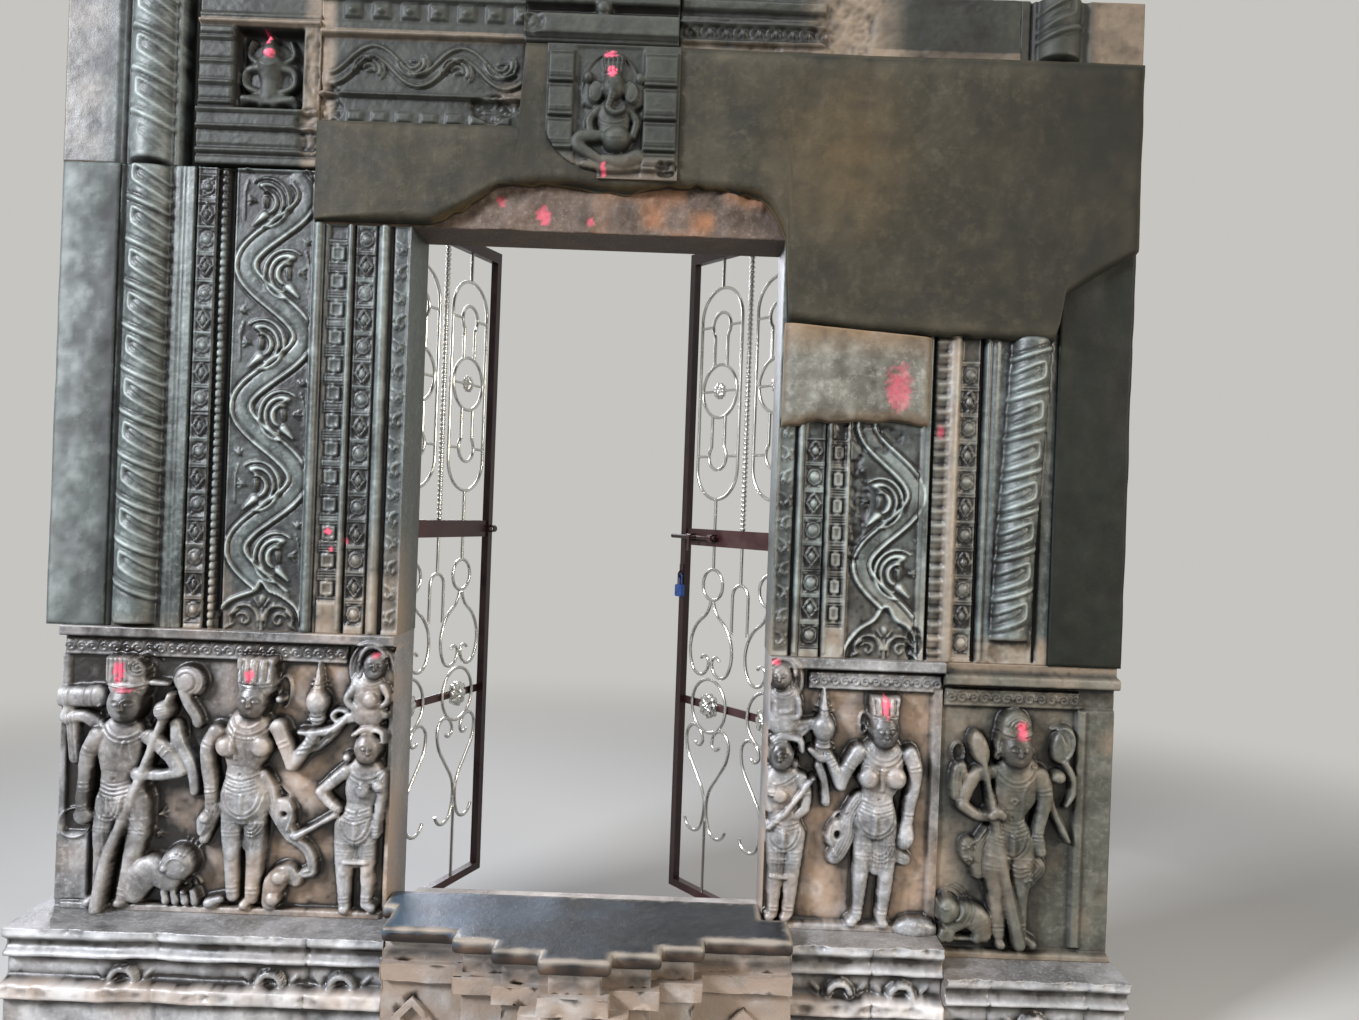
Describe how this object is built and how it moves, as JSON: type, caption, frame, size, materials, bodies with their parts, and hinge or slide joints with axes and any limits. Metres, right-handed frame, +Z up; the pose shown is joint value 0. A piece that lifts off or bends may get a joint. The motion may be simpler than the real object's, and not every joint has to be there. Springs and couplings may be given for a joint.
{
  "type": "carved temple doorway",
  "caption": "Carved stone doorway with banded jambs, relief figure panels, plastered lintel, stepped sill and a pair of scrolled steel gate leaves.",
  "frame": {"origin": "on the floor line under the middle of the doorway, in the plane of the front of the jambs", "axes": "+X to the right seen from the front, +Y inward through the doorway, +Z up"},
  "size_m": [2.872, 1.1713, 2.86],
  "materials": {
    "dark_stone": "dark oiled stone, worn",
    "warm_stone": "brown carved stone, worn smooth",
    "brown_granite": "broken rough stone",
    "dark_plaster": "smooth stained plaster",
    "pale_plaster": "smooth pale plaster",
    "polished_sill": "dark stone polished by feet",
    "maroon_iron": "dark maroon gloss paint",
    "bright_steel": "polished round bar",
    "lock_blue": "blue enamel"
  },
  "bodies": {
    "surround": {"anchor_bolts": "maroon_iron", "ganesha_plaque": "dark_stone", "gate_head": "maroon_iron", "hinge_pintles": "maroon_iron", "left_edge_slab": "dark_stone", "left_figure_panel": "warm_stone", "left_gate_post": "maroon_iron", "left_inner_jamb": "dark_stone", "left_plinth": "warm_stone", "left_torus_jamb": "dark_stone", "left_vine_jamb": "dark_stone", "lintel_plaster": "dark_plaster", "lintel_stone": "brown_granite", "niche_stone": "dark_stone", "right_edge_slab": "dark_stone", "right_gate_post": "maroon_iron", "right_inner_jamb": "dark_stone", "right_inner_panel": "warm_stone", "right_inner_plinth": "warm_stone", "right_outer_panel": "warm_stone", "right_outer_plinth": "warm_stone", "right_plaster_patch": "pale_plaster", "right_torus_jamb": "dark_stone", "right_vine_jamb": "dark_stone", "threshold_course": "warm_stone", "threshold_slab": "polished_sill", "top_centre_ledge": "dark_stone", "upper_left_torus": "dark_stone", "upper_right_frieze": "dark_stone", "upper_right_torus": "dark_stone", "vine_frieze": "dark_stone"},
    "left_leaf": {"left_bolt_keeper": "maroon_iron", "left_bottom_rail": "maroon_iron", "left_flower_rail": "maroon_iron", "left_free_stile": "maroon_iron", "left_hinge_barrels": "maroon_iron", "left_hinge_stile": "maroon_iron", "left_lock_rail": "maroon_iron", "left_lower_scrollwork": "bright_steel", "left_rosettes": "bright_steel", "left_top_rail": "maroon_iron", "left_twisted_rod": "bright_steel", "left_upper_scrollwork": "bright_steel"},
    "right_leaf": {"right_bolt_guides": "maroon_iron", "right_bottom_rail": "maroon_iron", "right_flower_rail": "maroon_iron", "right_free_stile": "maroon_iron", "right_hasp_staple": "maroon_iron", "right_hinge_barrels": "maroon_iron", "right_hinge_stile": "maroon_iron", "right_lock_rail": "maroon_iron", "right_lower_scrollwork": "bright_steel", "right_padlock": "lock_blue", "right_rosettes": "bright_steel", "right_top_rail": "maroon_iron", "right_twisted_rod": "bright_steel", "right_upper_scrollwork": "bright_steel"},
    "slide_bolt": {"right_slide_bolt": "maroon_iron"}
  },
  "joints": [
    {"name": "left_leaf_hinge", "type": "hinge", "parent": "surround", "child": "left_leaf", "pos_m": [-0.635, 0.24, 0.5], "axis": [0, 0, 1], "range_deg": [-69, 26]},
    {"name": "right_leaf_hinge", "type": "hinge", "parent": "surround", "child": "right_leaf", "pos_m": [0.635, 0.24, 0.5], "axis": [0, 0, -1], "range_deg": [-53, 42]},
    {"name": "bolt_slide", "type": "slide", "parent": "right_leaf", "child": "slide_bolt", "axis": [-0.6018, 0.7986, 0], "range_m": [-0.05, 0.004]}
  ]
}
